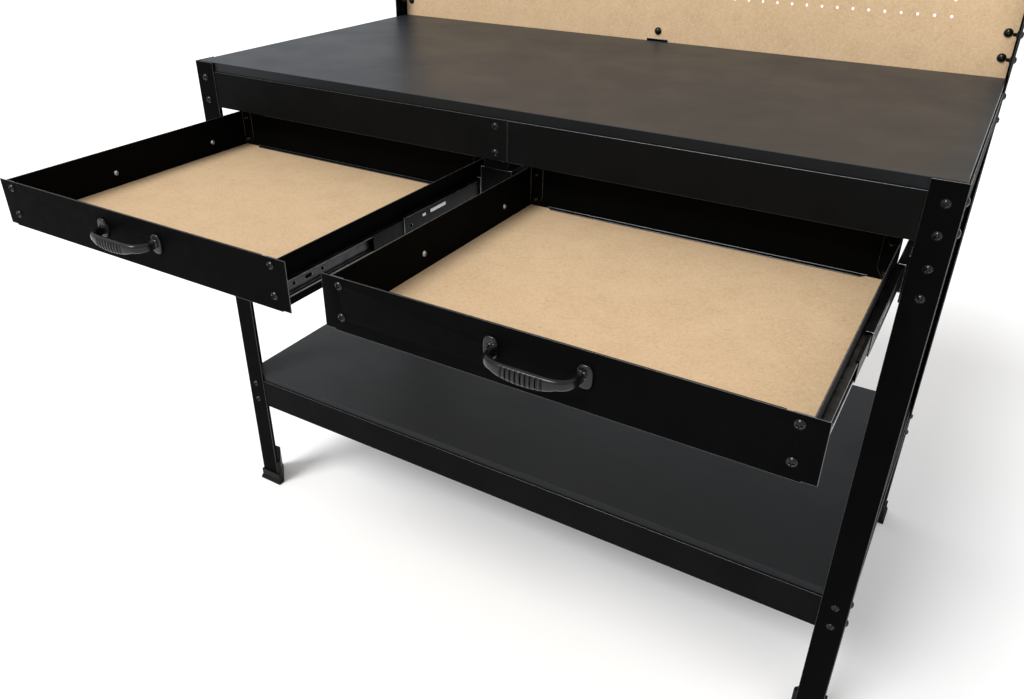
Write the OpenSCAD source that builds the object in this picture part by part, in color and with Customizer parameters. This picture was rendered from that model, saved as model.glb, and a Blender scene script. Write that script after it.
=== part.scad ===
// Steel workbench with two drawers, a lower shelf and a pegboard back.
// Millimetres. Z up, Y towards the back, origin on the floor under the middle of the bounding box.

/* [Bench] */
// Width over the legs
bench_w = 1200; // [900:10:1500]
// Depth over the legs
bench_d = 600; // [520:10:760]
// Height of the worktop's upper face
bench_h = 900; // [780:5:1000]
// Thickness of the worktop board
worktop_t = 15; // [12:1:25]
// Height of the lower shelf's upper face
shelf_top = 279; // [160:1:450]
// Thickness of the shelf board
shelf_t = 15; // [12:1:25]
// Gap between a board's edge and the beam face in front of it
board_inset = 1.2; // [0.5:0.1:4]
// Gap between the worktop's rear edge and the pegboard's plane
board_rear_gap = 2.3; // [1:0.1:4]

/* [Steel frame] */
// Width of each flange of a leg
leg_flange = 40; // [34:1:50]
// Sheet thickness of legs and uprights
leg_t = 1.5; // [1.2:0.1:3]
// Height of every folded beam
beam_h = 60; // [56:1:80]
// Sheet thickness of beams, rails and divider
beam_t = 1.2; // [1:0.1:2]
// Width of a beam's folded lips
beam_lip = 15; // [10:1:20]
// Distance between the two bolts of a beam end
bolt_pitch = 38; // [34:1:42]
// Distance from a leg's outer corner to its bolts
bolt_inset = 19; // [17:0.5:22]
// Half of the overlap of the two front apron halves
apron_overlap = 20; // [16:1:30]
// Gap left between neighbouring sheet parts
fit_gap = 0.3; // [0.2:0.1:1]

/* [Back panel] */
// Height of the uprights above the worktop
upright_rise = 624; // [400:1:800]
// Length of the splice where an upright stands inside a rear leg
splice_h = 76; // [66:1:100]
// Height of the uprights' lower end above the worktop
splice_lift = 11; // [4:1:20]
// Thickness of the pegboard
peg_t = 3.2; // [3:0.1:6]
// Distance from the pegboard's side edge to the frame's outer face
peg_side = 6; // [4:0.5:12]
// How far the pegboard's lower edge hangs below the worktop's face
peg_hang = 1; // [0:0.1:6]
// Distance from the uprights' upper end down to the pegboard's top edge
peg_drop = 4; // [2:1:20]
// Distance between peg holes
peg_pitch = 25.4; // [20:0.1:50.8]
// Diameter of a peg hole
peg_hole_d = 4.8; // [4:0.1:6.6]
// Plain strip below the first row of peg holes
peg_plain = 86; // [70:0.1:110]
// Smallest plain strip at the sides
peg_side_plain = 97; // [80:1:140]
// Smallest plain strip above the top row
peg_top_plain = 52; // [46:1:90]
// Width of the clip at the pegboard's lower edge
clip_w = 42; // [20:1:60]
// Height of the lip that the clip shows in front of the pegboard
clip_lip = 4; // [2:0.5:8]

/* [Drawers] */
// Distance that the drawers are pulled out
drawer_out = 397; // [0:1:400]
// Height of a drawer front
front_h = 66.2; // [60:0.1:70]
// Gap between the front apron and the drawer fronts
front_drop = 11.3; // [4:0.1:20]
// Half of the gap between the two drawer fronts
front_half_gap = 26; // [24:0.5:40]
// Gap between a drawer front and the leg beside it
front_side_gap = 1.5; // [1:0.1:4]
// How far a closed drawer front stands proud of the legs
front_proud = 0.5; // [0.3:0.1:3]
// Width that a front reaches past the drawer box on each side
front_cover = 13; // [13:0.1:16]
// Depth of a drawer behind its front face
drawer_d = 436; // [420:1:460]
// Sheet thickness of the drawers
drawer_t = 1.2; // [0.8:0.1:1.6]
// Height of a drawer's side walls
wall_h = 62.7; // [56:0.1:64]
// Width of the flange that carries the drawer floor
floor_lip = 12; // [8:1:20]
// Width of the corner flanges of the side walls
corner_flange = 21; // [18:1:26]
// Thickness of the drawer floor
floor_t = 3; // [2.5:0.1:5]
// Depth of the folded strip over the floor's rear edge
rear_hem = 8; // [4:1:14]
// Distance from the end of a drawer front to its screws
front_screw_inset = 23.7; // [22:0.1:26]
// Distance from the top of a drawer front to its upper screws
front_screw_drop = 10.2; // [8:0.1:14]

/* [Slides] */
// Distance from a drawer front's top to the middle of the slides
slide_drop = 37.7; // [33:0.1:42]
// Height of a slide's outer member
slide_h = 36; // [34:1:40]
// Thickness of a slide between drawer and frame
slide_w = 12.7; // [12.5:0.1:13]
// Length of a slide
slide_len = 400; // [380:1:420]
// Sheet thickness of the slide members
slide_t = 1.2; // [1:0.1:1.3]
// Height of the middle member
slide_mid_h = 28; // [26:1:29]
// Height of the inner member
slide_in_h = 21; // [18:1:22]
// Share of the drawer's travel that the middle member makes
slide_share = 0.46; // [0.4:0.01:0.6]

/* [Handles] */
// Distance between a handle's two screws
handle_centres = 102; // [90:1:128]
// Distance from a drawer front's top to a handle's middle
handle_drop = 24.7; // [22:0.1:40]
// How far a handle stands out from the drawer front
handle_proj = 33; // [28:1:40]
// Thickness of a handle's bow
handle_bar = 10; // [8:0.5:14]
// Height of the grip's belly
handle_belly = 17; // [12:0.5:22]
// Height of a handle's ear
ear_h = 26; // [22:1:32]
// Width of a handle's ear
ear_w = 17; // [14:1:20]
// Thickness of a handle's ear
ear_t = 3.5; // [2.5:0.5:6]

/* [Feet] */
// How far a foot's base reaches past the leg's outer faces
foot_flare = 6; // [4:0.5:14]
// How far a foot reaches along each flange of the leg
foot_reach = 48; // [42:1:60]
// Depth of a foot's arms behind the leg's outer faces
foot_arm = 8; // [6:0.5:14]
// Thickness of the pad under the leg
foot_pad = 4; // [3:0.5:8]
// Height of the foot's outer walls
foot_h = 25; // [20:1:40]
// Height of the foot's inner post
foot_post_h = 62; // [50:1:90]
// Wall thickness of a foot
foot_wall = 3; // [2:0.5:6]

/* [Fasteners] */
// Shank diameter of the frame bolts
bolt_d = 6; // [5:0.5:8]
// Head diameter of the frame bolts
bolt_head_d = 12; // [10:0.5:14]
// Head height of the frame bolts
bolt_head_h = 3.5; // [2.5:0.1:5]
// Clearance of a bolt in its hole, on the diameter
bolt_clear = 0.4; // [0.2:0.1:1]
// Shank length of the frame bolts
bolt_len = 12; // [11:1:16]
// Width of a nut over its flats
nut_af = 10; // [8:0.5:13]
// Height of a nut
nut_h = 4; // [3:0.5:6]
// Head diameter of the pegboard bolts
peg_bolt_head_d = 14; // [12:0.5:16]
// Shank diameter of the drawer screws
screw_d = 5; // [4:0.5:6]
// Head diameter of the drawer screws
screw_head_d = 10.6; // [8:0.1:12]
// Shank diameter of the slide screws
pan_d = 4; // [3:0.5:5]
// Head diameter of the slide screws
pan_head_d = 8; // [7:0.5:9]

/* [Hidden] */
$fn = 48;
eps = 0.01;

steel = [0.05, 0.05, 0.055];
board_black = [0.14, 0.14, 0.15];
fibre = [0.84, 0.71, 0.54];
plastic = [0.07, 0.07, 0.075];
zinc = [0.78, 0.79, 0.8];
slide_metal = [0.45, 0.46, 0.48];

// Frame
half_w = bench_w / 2;
leg_in = half_w - leg_flange;
apron_top = bench_h - worktop_t;
shelf_ledge = shelf_top - shelf_t;
face_in = leg_t + beam_t;
beam_end = half_w - face_in - fit_gap;
lip_notch = face_in + beam_lip + fit_gap;
bolt_dz = [bolt_pitch / 2, -bolt_pitch / 2];
upright_top = bench_h + upright_rise;
apron_z0 = apron_top - beam_h;
apron_z = apron_top - beam_h / 2;
front_top = apron_z0 - front_drop;
slide_z = front_top - slide_drop;
shelf_z0 = shelf_ledge - beam_h;
shelf_z = shelf_ledge - beam_h / 2;
leg_front_z = [for (z = [apron_z, slide_z, shelf_z], d = bolt_dz) z + d];
leg_side_z = [for (z = [apron_z, shelf_z], d = bolt_dz) z + d];
splice_z0 = bench_h + splice_lift;
rear_leg_top = splice_z0 + splice_h;
splice_mid = (splice_z0 + rear_leg_top) / 2;
splice_bolts = [for (d = bolt_dz) splice_mid + d];
head_bolt_drop = 30;
head_bolt_z = upright_top - head_bolt_drop;

// Pegboard
peg_y1 = bench_d - 2 * leg_t;
peg_y0 = peg_y1 - peg_t;
peg_w = bench_w - 2 * peg_side;
peg_z0 = bench_h - peg_hang;
peg_z1 = upright_top - peg_drop;
row_z0 = peg_z0 + peg_plain;
peg_half_cols = floor((peg_w / 2 - peg_side_plain) / peg_pitch + 0.5);
peg_rows = 1 + floor((peg_z1 - peg_top_plain - row_z0) / peg_pitch);
peg_bolt_x = half_w - bolt_inset;
rail_h = 40;
rail_z0 = peg_z1 - rail_h;
clip_rise = 18;
clip_bolt_z = bench_h + clip_rise;
clip_over_bolt = 12;

// Drawers
front_z0 = front_top - front_h;
front_w = leg_in - front_side_gap - front_half_gap;
drawer_cx = front_half_gap + front_w / 2;
box_half = front_w / 2 - front_cover;
wall_z0 = front_top - wall_h;
floor_z0 = wall_z0 + drawer_t;
floor_z1 = floor_z0 + floor_t;
rest_y = -drawer_out - front_proud;
middle_rest_y = -drawer_out * slide_share;
screw_x = front_w / 2 - front_screw_inset;
screw_z = [front_top - front_screw_drop, front_top - front_screw_drop - bolt_pitch];
handle_z = front_top - handle_drop;
flange_z0 = floor_z1 + 1.5;
pan_first = 167;
pan_pitch = 192;
pan_y = [pan_first, pan_first + pan_pitch];

// Slides: u runs from the frame to the drawer
divider_half = drawer_cx - box_half - slide_w;
divider_drop = 13;
divider_foot = 30;
rail_x = drawer_cx + box_half + slide_w;
slide_y0 = face_in + fit_gap;
rail_lip = 12;
outer_u = slide_w - 3.2;
middle_u0 = 2.6;
middle_u1 = slide_w - 1.7;
inner_u0 = middle_u0 + slide_t + 1.2;
inner_y0 = slide_y0 + front_proud;

// Handles and feet
handle_x = handle_centres / 2;
screw_len = 9;
leg_bottom = foot_pad;

// Whole model
y_min = rest_y - handle_proj;
y_max = bench_d + foot_flare;
mid_y = (y_min + y_max) / 2;

module place() {
    translate([0, -mid_y, 0]) children();
}

// Puts a part made for the right side on the left side too
module on_side(side) {
    if (side > 0) children();
    else mirror([1, 0, 0]) children();
}

// A part made for the front is turned to the rear
module at_end(rear) {
    if (rear) translate([0, bench_d, 0]) mirror([0, 1, 0]) children();
    else children();
}

// Hole along Y, or along X when the axis is "x"
module hole(x, y, z, d, axis = "y", l = 30) {
    if (axis == "y") translate([x, y + l / 2, z]) rotate([90, 0, 0]) cylinder(h = l, d = d);
    else translate([x - l / 2, y, z]) rotate([0, 90, 0]) cylinder(h = l, d = d);
}

// ---------- steel frame ----------

// Angle of a front right leg, its outer corner at the right front
module leg_angle(z0, z1) {
    translate([0, 0, z0]) linear_extrude(height = z1 - z0) polygon([
        [leg_in, 0], [half_w, 0], [half_w, leg_flange], [half_w - leg_t, leg_flange],
        [half_w - leg_t, leg_t], [leg_in, leg_t]
    ]);
}

module leg(side, rear) {
    top = rear ? rear_leg_top : bench_h;
    front_z = rear ? concat(leg_front_z, splice_bolts) : leg_front_z;
    side_z = rear ? concat(leg_side_z, splice_bolts) : leg_side_z;
    color(steel) place() on_side(side) at_end(rear) difference() {
        leg_angle(leg_bottom, top);
        for (z = front_z) hole(half_w - bolt_inset, 0, z, bolt_d + bolt_clear);
        for (z = side_z) hole(half_w, bolt_inset, z, bolt_d + bolt_clear, "x");
    }
}

module upright(side) {
    inner = half_w - leg_t;
    color(steel) place() on_side(side) translate([0, bench_d, 0]) mirror([0, 1, 0]) difference() {
        translate([0, 0, splice_z0]) linear_extrude(height = upright_top - splice_z0) polygon([
            [leg_in, leg_t], [inner, leg_t], [inner, leg_flange], [inner - leg_t, leg_flange],
            [inner - leg_t, 2 * leg_t], [leg_in, 2 * leg_t]
        ]);
        for (z = splice_bolts) hole(peg_bolt_x, 0, z, bolt_d + bolt_clear);
        for (z = splice_bolts) hole(half_w, bolt_inset, z, bolt_d + bolt_clear, "x");
        hole(peg_bolt_x, 0, head_bolt_z, bolt_d + bolt_clear);
    }
}

// Folded channel along X with its face at y = 0 and its lips towards +Y
module beam_x(x0, x1, z0, inset = 0) {
    translate([x0, inset, z0 + inset]) cube([x1 - x0, beam_t, beam_h - 2 * inset]);
    for (z = [z0 + inset, z0 + beam_h - inset - beam_t])
        translate([x0, inset, z]) cube([x1 - x0, beam_lip - inset, beam_t]);
}

// Folded channel along Y on the right side, its lips cut short at both ends
module beam_y(z0) {
    x1 = half_w - leg_t;
    y0 = face_in + fit_gap;
    translate([x1 - beam_t, y0, z0]) cube([beam_t, bench_d - 2 * y0, beam_h]);
    for (z = [z0, z0 + beam_h - beam_t])
        translate([x1 - beam_lip, lip_notch, z])
            cube([beam_lip, bench_d - 2 * lip_notch, beam_t]);
}

// Cut in a beam's lower lip where the divider's tab passes through it
module divider_notch() {
    y0 = face_in + beam_t;
    half = apron_overlap + 1;
    translate([-half, y0, apron_z0 - 1]) cube([2 * half, beam_lip, 2 * beam_t + 2]);
}

module beam_holes(xs, z_mid) {
    for (x = xs, d = bolt_dz) hole(x, 0, z_mid + d, bolt_d + bolt_clear);
}

module apron_front_left() {
    color(steel) place() difference() {
        translate([0, leg_t, 0]) beam_x(-beam_end, apron_overlap, apron_z0);
        beam_holes([-half_w + bolt_inset, 0], apron_z);
        divider_notch();
    }
}

// The right half is set back where it lies inside the left half
module apron_front_right() {
    joggle = apron_overlap + fit_gap;
    color(steel) place() difference() {
        translate([0, leg_t, 0]) {
            beam_x(joggle, beam_end, apron_z0);
            beam_x(-apron_overlap, joggle + 4, apron_z0, beam_t);
        }
        beam_holes([0, half_w - bolt_inset], apron_z);
        divider_notch();
    }
}

module apron_rear() {
    color(steel) place() translate([0, bench_d, 0]) mirror([0, 1, 0]) difference() {
        translate([0, leg_t, 0]) beam_x(-beam_end, beam_end, apron_z0);
        beam_holes([-half_w + bolt_inset, 0, half_w - bolt_inset], apron_z);
        translate([0, -beam_t, 0]) divider_notch();
    }
}

module shelf_beam_x(rear) {
    color(steel) place() at_end(rear) difference() {
        translate([0, leg_t, 0]) beam_x(-beam_end, beam_end, shelf_z0);
        beam_holes([-half_w + bolt_inset, half_w - bolt_inset], shelf_z);
    }
}

module beam_side(side, z0) {
    color(steel) place() on_side(side) difference() {
        beam_y(z0);
        for (y = [bolt_inset, bench_d - bolt_inset], d = bolt_dz)
            hole(half_w, y, z0 + beam_h / 2 + d, bolt_d + bolt_clear, "x");
    }
}

// Board between the beams: its upper face, its thickness and its rear edge
module board(z1, t, y1) {
    edge = face_in + board_inset;
    x1 = half_w - edge;
    translate([-x1, edge, z1 - t]) cube([2 * x1, y1 - edge, t]);
}

module worktop() {
    color(board_black) place() board(bench_h, worktop_t, peg_y0 - board_rear_gap);
}

module shelf_board() {
    color(board_black) place() board(shelf_top, shelf_t, bench_d - face_in - board_inset);
}

// ---------- back panel ----------

module pegboard() {
    color(fibre) place() translate([0, peg_y1, 0]) rotate([90, 0, 0])
        linear_extrude(height = peg_t) difference() {
            translate([-peg_w / 2, peg_z0]) square([peg_w, peg_z1 - peg_z0]);
            for (i = [-peg_half_cols:peg_half_cols - 1], j = [0:peg_rows - 1])
                translate([(i + 0.5) * peg_pitch, row_z0 + j * peg_pitch])
                    circle(d = peg_hole_d, $fn = 24);
            for (s = [-1, 1], z = concat(splice_bolts, [head_bolt_z]))
                translate([s * peg_bolt_x, z]) circle(d = bolt_d + bolt_clear);
            translate([0, clip_bolt_z]) circle(d = bolt_d + bolt_clear);
        }
}

module pegboard_top_rail() {
    x1 = half_w - 2 * leg_t - fit_gap;
    y0 = peg_y0 - beam_t;
    color(steel) place() difference() {
        union() {
            translate([-x1, y0, rail_z0]) cube([2 * x1, beam_t, rail_h]);
            translate([-x1, y0 - beam_lip + beam_t, rail_z0 + rail_h - beam_t])
                cube([2 * x1, beam_lip, beam_t]);
        }
        for (s = [-1, 1]) hole(s * peg_bolt_x, peg_y0, head_bolt_z, bolt_d + bolt_clear);
    }
}

// Clip bolted behind the pegboard, folded under its lower edge and up in front of it
module pegboard_clip() {
    z0 = peg_z0 - fit_gap - leg_t;
    y0 = peg_y0 - fit_gap - leg_t;
    color(steel) place() difference() {
        translate([-clip_w / 2, 0, 0]) {
            translate([0, y0, z0]) cube([clip_w, peg_y1 + leg_t - y0, leg_t]);
            translate([0, y0, z0]) cube([clip_w, leg_t, bench_h + clip_lip - z0]);
            translate([0, peg_y1, z0]) cube([clip_w, leg_t, clip_bolt_z + clip_over_bolt - z0]);
        }
        hole(0, peg_y1 + leg_t, clip_bolt_z, bolt_d + bolt_clear, "y", 4 * leg_t);
    }
}

// ---------- slide carriers ----------

// Channel between the aprons that carries the two middle slides
module centre_divider() {
    z0 = slide_z - divider_foot;
    z1 = apron_z0 - divider_drop;
    y0 = leg_t + 2 * beam_t;
    y1 = bench_d - leg_t - beam_t;
    tab_h = beam_h + divider_drop - beam_t - fit_gap;
    color(steel) place() difference() {
        union() {
            for (s = [-1, 1]) translate([s > 0 ? divider_half - beam_t : -divider_half, y0, z0])
                cube([beam_t, y1 - y0, z1 - z0]);
            translate([-divider_half, y0, z1 - beam_t])
                cube([2 * divider_half, y1 - y0, beam_t]);
            for (y = [y0, y1 - beam_t]) translate([-apron_overlap, y, z1 - beam_t])
                cube([2 * apron_overlap, beam_t, tab_h]);
        }
        beam_holes([0], apron_z);
        translate([0, bench_d, 0]) beam_holes([0], apron_z);
        for (s = [-1, 1], y = pan_y)
            hole(s * divider_half, slide_y0 + y, slide_z, pan_d + fit_gap, "x", 4 * beam_t);
    }
}

// Channel between the legs that carries an outer slide
module slide_rail(side) {
    z0 = slide_z - beam_h / 2;
    x_end = half_w - leg_t - fit_gap;
    color(steel) place() on_side(side) difference() {
        union() {
            translate([rail_x, leg_t, z0]) cube([beam_t, bench_d - 2 * leg_t, beam_h]);
            for (z = [z0, z0 + beam_h - beam_t])
                translate([rail_x, leg_t, z]) cube([rail_lip, bench_d - 2 * leg_t, beam_t]);
            for (y = [leg_t, bench_d - leg_t - beam_t])
                translate([rail_x, y, z0]) cube([x_end - rail_x, beam_t, beam_h]);
        }
        beam_holes([half_w - bolt_inset], slide_z);
        translate([0, bench_d, 0]) beam_holes([half_w - bolt_inset], slide_z);
        for (y = pan_y) hole(rail_x, slide_y0 + y, slide_z, pan_d + fit_gap, "x", 4 * beam_t);
    }
}

// ---------- slides ----------

// Channel profile: u from the frame to the drawer, v up; web_side 0 has its web at u0, 1 at u1
module slide_profile(u0, u1, h, web_side) {
    web_u = web_side == 0 ? u0 : u1 - slide_t;
    translate([web_u, -h / 2]) square([slide_t, h]);
    for (v = [-h / 2, h / 2 - slide_t]) translate([u0, v]) square([u1 - u0, slide_t]);
}

// Places a slide member: local x is u, the profile stands up and runs back from y
module slide_at(drawer, side, y) {
    translate([drawer * drawer_cx + side * (box_half + slide_w), y, slide_z])
        mirror([side > 0 ? 1 : 0, 0, 0]) children();
}

module member(u0, u1, h, web_side, len) {
    rotate([90, 0, 0]) mirror([0, 0, 1]) linear_extrude(height = len)
        slide_profile(u0, u1, h, web_side);
}

// Slotted hole through a web, its length along Y
module web_slot(u, y, l, d) {
    for (dy = [-1, 1] * (l - d) / 2) hole(u, y + dy, 0, d, "x", 6);
    translate([u - 3, y - (l - d) / 2, -d / 2]) cube([6, l - d, d]);
}

module slide_outer(drawer, side) {
    color(slide_metal) place() slide_at(drawer, side, slide_y0) difference() {
        member(0, outer_u, slide_h, 0, slide_len);
        for (y = pan_y) hole(0, y, 0, pan_d + fit_gap, "x", 6);
        for (y = [60, 240]) web_slot(0, y, 14, 5);
    }
}

module slide_middle(drawer, side) {
    color(slide_metal) place() slide_at(drawer, side, slide_y0 + 1 + middle_rest_y) difference() {
        member(middle_u0, middle_u1, slide_mid_h, 0, slide_len - 4);
        for (y = [14, slide_len - 20]) hole(middle_u0, y, 0, 6, "x", 6);
    }
}

module slide_inner(drawer, side) {
    color(slide_metal) place() slide_at(drawer, side, inner_y0 + rest_y) difference() {
        member(inner_u0, slide_w, slide_in_h, 1, slide_len);
        for (y = pan_y) hole(slide_w, y - inner_y0, 0, pan_d + fit_gap, "x", 6);
        for (y = [42, 250]) web_slot(slide_w, y, 12, 5);
        hole(slide_w, 18, 0, 5, "x", 6);
        web_slot(slide_w, 66, 5.2, 5);
    }
}

// ---------- drawers ----------

// Places a drawer part: local x from the drawer's middle, y from the front face
module in_drawer(drawer) {
    translate([drawer * drawer_cx, rest_y, 0]) children();
}

module drawer_front(drawer) {
    fold = 12;
    hem = 8;
    step = 1.5;
    color(steel) place() in_drawer(drawer) difference() {
        union() {
            translate([-front_w / 2, 0, front_z0 + step])
                cube([front_w, drawer_t, front_h - step]);
            translate([-box_half, 0, front_z0]) cube([2 * box_half, drawer_t, front_h]);
            translate([-box_half, 0, front_z0]) cube([2 * box_half, fold, drawer_t]);
            translate([-box_half + corner_flange + 2, 0, front_top - hem])
                cube([2 * (box_half - corner_flange - 2), 2 * drawer_t, hem]);
        }
        for (s = [-1, 1], z = screw_z) hole(s * screw_x, 0, z, screw_d + bolt_clear);
        for (s = [-1, 1]) hole(s * handle_x, 0, handle_z, screw_d + bolt_clear);
    }
}

// Corner flange of a side wall, its free edge slanted at the lower end
module corner_tab() {
    h = front_top - flange_z0;
    rotate([90, 0, 0]) linear_extrude(height = drawer_t) polygon([
        [0, 0], [corner_flange - 8, 0], [corner_flange, 12], [corner_flange, h - 4],
        [corner_flange - 4, h], [0, h]
    ]);
}

module drawer_side(drawer, side) {
    y0 = drawer_t;
    len = drawer_d - 2 * drawer_t;
    color(steel) place() in_drawer(drawer) on_side(side) difference() {
        union() {
            translate([box_half - drawer_t, y0, wall_z0]) cube([drawer_t, len, wall_h]);
            translate([box_half - floor_lip, y0, wall_z0]) cube([floor_lip, len, drawer_t]);
            for (y = [y0, y0 + len - drawer_t])
                translate([box_half, y + drawer_t, flange_z0]) mirror([1, 0, 0]) corner_tab();
        }
        for (y = [0, drawer_d], z = screw_z) hole(screw_x, y, z, screw_d + bolt_clear);
        for (y = pan_y) hole(box_half, y, slide_z, pan_d + fit_gap, "x", 10);
    }
}

module drawer_back(drawer) {
    hem_half = box_half - 30;
    color(steel) place() in_drawer(drawer) difference() {
        union() {
            translate([-box_half, drawer_d - drawer_t, wall_z0])
                cube([2 * box_half, drawer_t, wall_h]);
            translate([0, drawer_d - drawer_t, floor_z1 + fit_gap]) linear_extrude(height = drawer_t)
                polygon([
                    [-hem_half, eps], [-hem_half + rear_hem, -rear_hem],
                    [hem_half - rear_hem, -rear_hem], [hem_half, eps]
                ]);
        }
        for (s = [-1, 1], z = screw_z) hole(s * screw_x, drawer_d, z, screw_d + bolt_clear);
    }
}

module drawer_floor(drawer) {
    x1 = box_half - drawer_t - fit_gap;
    y0 = 2 * drawer_t + fit_gap;
    color(fibre) place() in_drawer(drawer)
        translate([-x1, y0, floor_z0]) cube([2 * x1, drawer_d - drawer_t - fit_gap - y0, floor_t]);
}

// Half of the bow: an ear, a leg that curves out and half of the grip
module handle_half() {
    bend = 14;
    r = handle_bar / 2;
    grip_y = -handle_proj + r;
    difference() {
        translate([handle_x, 0, 0]) rotate([90, 0, 0]) linear_extrude(height = ear_t) hull()
            for (z = [-1, 1]) translate([0, z * (ear_h - ear_w) / 2]) circle(d = ear_w, $fn = 32);
        hole(handle_x, 0, 0, screw_d + bolt_clear);
    }
    translate([handle_x - ear_w / 2 - r + 1, 0, 0]) {
        rotate([90, 0, 0]) cylinder(h = -grip_y - bend, r = r);
        translate([-bend, grip_y + bend, 0]) rotate([0, 0, -90])
            rotate_extrude(angle = 90) translate([bend, 0]) circle(r = r);
    }
    translate([handle_x - ear_w / 2 - r, -r, 0]) rotate([0, 90, 0]) cylinder(h = ear_w / 2, r = r - 1);
    translate([0, grip_y, 0]) rotate([0, 90, 0])
        cylinder(h = handle_x - ear_w / 2 - r + 1 - bend, r = r);
    translate([0, grip_y + 1, 0]) rotate([0, 90, 0])
        cylinder(h = 20, r1 = handle_belly / 2 - 1, r2 = r);
}

module drawer_handle(drawer) {
    color(plastic) place() in_drawer(drawer) translate([0, 0, handle_z])
        intersection() {
            union() for (s = [-1, 1]) mirror([s > 0 ? 0 : 1, 0, 0]) handle_half();
            translate([-handle_x - ear_w, -handle_proj, -ear_h])
                cube([2 * handle_x + 2 * ear_w, handle_proj, 2 * ear_h]);
        }
}

// ---------- feet ----------

// Layer of a front right foot: an angle with a slanted inner side
module foot_layer(out, reach, z0, h) {
    translate([0, 0, z0]) linear_extrude(height = h) polygon([
        [half_w + out, -out], [half_w - reach, -out], [half_w - reach, foot_arm],
        [half_w - foot_arm, reach], [half_w + out, reach]
    ]);
}

// Base, rib, outer walls and an inner post with a stepped top round the leg's end
module foot(side, rear) {
    rib_h = 4;
    post_step = 6;
    base_h = foot_pad + 1;
    wall_z0 = base_h + rib_h;
    post_reach = foot_reach - 2;
    color(plastic) place() on_side(side) at_end(rear) difference() {
        union() {
            foot_layer(foot_flare, foot_reach, 0, base_h);
            foot_layer((foot_flare + foot_wall) / 2, foot_reach - 1, base_h, rib_h);
            foot_layer(foot_wall, post_reach, wall_z0, foot_h - wall_z0);
            foot_layer(-leg_t, post_reach, foot_h, foot_post_h - post_step - foot_h);
            foot_layer(-leg_t, post_reach - post_step, foot_post_h - post_step, post_step);
        }
        leg_angle(leg_bottom, foot_post_h + 1);
    }
}

// ---------- fasteners ----------

// Domed head standing on z = 0
module dome(d, h) {
    r = (d * d / 4 + h * h) / (2 * h);
    intersection() {
        translate([0, 0, h - r]) sphere(r = r, $fn = 64);
        cylinder(h = h, d = d);
    }
}

// Bolt along -Z under a domed head
module bolt(d, len, head_d, head_h) {
    dome(head_d, head_h);
    translate([0, 0, -len]) cylinder(h = len + eps, d = d);
}

// Turns a bolt so that its head points along -Y, +Y or +X
module facing(dir) {
    if (dir == "front") rotate([90, 0, 0]) children();
    else if (dir == "rear") rotate([-90, 0, 0]) children();
    else rotate([0, 90, 0]) children();
}

module nut(offset) {
    translate([0, 0, -offset - nut_h]) difference() {
        cylinder(h = nut_h, d = nut_af / cos(30), $fn = 6);
        translate([0, 0, -1]) cylinder(h = nut_h + 2, d = bolt_d);
    }
}

// Runs through every frame bolt: the child is drawn once for each, with its stack of sheets
module each_frame_bolt() {
    for (s = [-1, 1]) on_side(s) for (rear = [false, true]) at_end(rear) {
        for (z = leg_front_z) translate([half_w - bolt_inset, 0, z]) facing("front")
            frame_fastener($part, face_in);
        for (z = leg_side_z) translate([half_w, bolt_inset, z]) facing("side")
            frame_fastener($part, face_in);
        if (rear) for (z = splice_bolts) translate([half_w, bolt_inset, z]) facing("side")
            frame_fastener($part, 2 * leg_t);
    }
    for (d = bolt_dz) {
        translate([0, leg_t, apron_z + d]) facing("front") frame_fastener($part, 3 * beam_t);
        translate([0, bench_d - leg_t, apron_z + d]) facing("rear")
            frame_fastener($part, 2 * beam_t);
    }
}

module frame_fastener(part, stack) {
    if (part == "bolt") bolt(bolt_d, bolt_len, bolt_head_d, bolt_head_h);
    else nut(stack);
}

// Runs through the bolts that hold the pegboard, their heads in front
module each_peg_bolt() {
    for (s = [-1, 1]) {
        for (z = splice_bolts) translate([s * peg_bolt_x, peg_y0, z]) facing("front")
            peg_fastener($part, peg_t + 2 * leg_t);
        translate([s * peg_bolt_x, peg_y0 - beam_t, head_bolt_z]) facing("front")
            peg_fastener($part, peg_t + leg_t + beam_t);
    }
    translate([0, peg_y0, clip_bolt_z]) facing("front")
        peg_fastener($part, peg_t + leg_t);
}

module peg_fastener(part, stack) {
    if (part == "bolt") bolt(bolt_d, bolt_len, peg_bolt_head_d, bolt_head_h + 1.5);
    else nut(stack);
}

module frame_bolts() {
    color(steel) place() each_frame_bolt($part = "bolt");
}

module frame_nuts() {
    color(steel) place() {
        each_frame_bolt($part = "nut");
        each_peg_bolt($part = "nut");
    }
}

module pegboard_bolts() {
    color(steel) place() each_peg_bolt($part = "bolt");
}

// Low screws that hold the outer members on the divider and the rails
module slide_fixing_screws() {
    head_h = 1;
    color(zinc) place() for (drawer = [-1, 1], side = [-1, 1])
        slide_at(drawer, side, slide_y0) for (y = pan_y) {
            translate([slide_t, y, 0]) rotate([0, 90, 0]) cylinder(h = head_h, d = pan_head_d);
            translate([-4, y, 0]) rotate([0, 90, 0]) cylinder(h = 4 + slide_t + eps, d = pan_d);
        }
}

module drawer_screws(drawer) {
    color(steel) place() in_drawer(drawer) {
        for (s = [-1, 1], z = screw_z) {
            translate([s * screw_x, 0, z]) facing("front")
                bolt(screw_d, screw_len, screw_head_d, 3);
            translate([s * screw_x, drawer_d, z]) facing("rear")
                bolt(screw_d, screw_len, screw_head_d, 3);
        }
        for (s = [-1, 1]) translate([s * handle_x, -ear_t, handle_z]) facing("front")
            bolt(screw_d, screw_len + 2, screw_head_d - 1, 2.5);
    }
}

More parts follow.
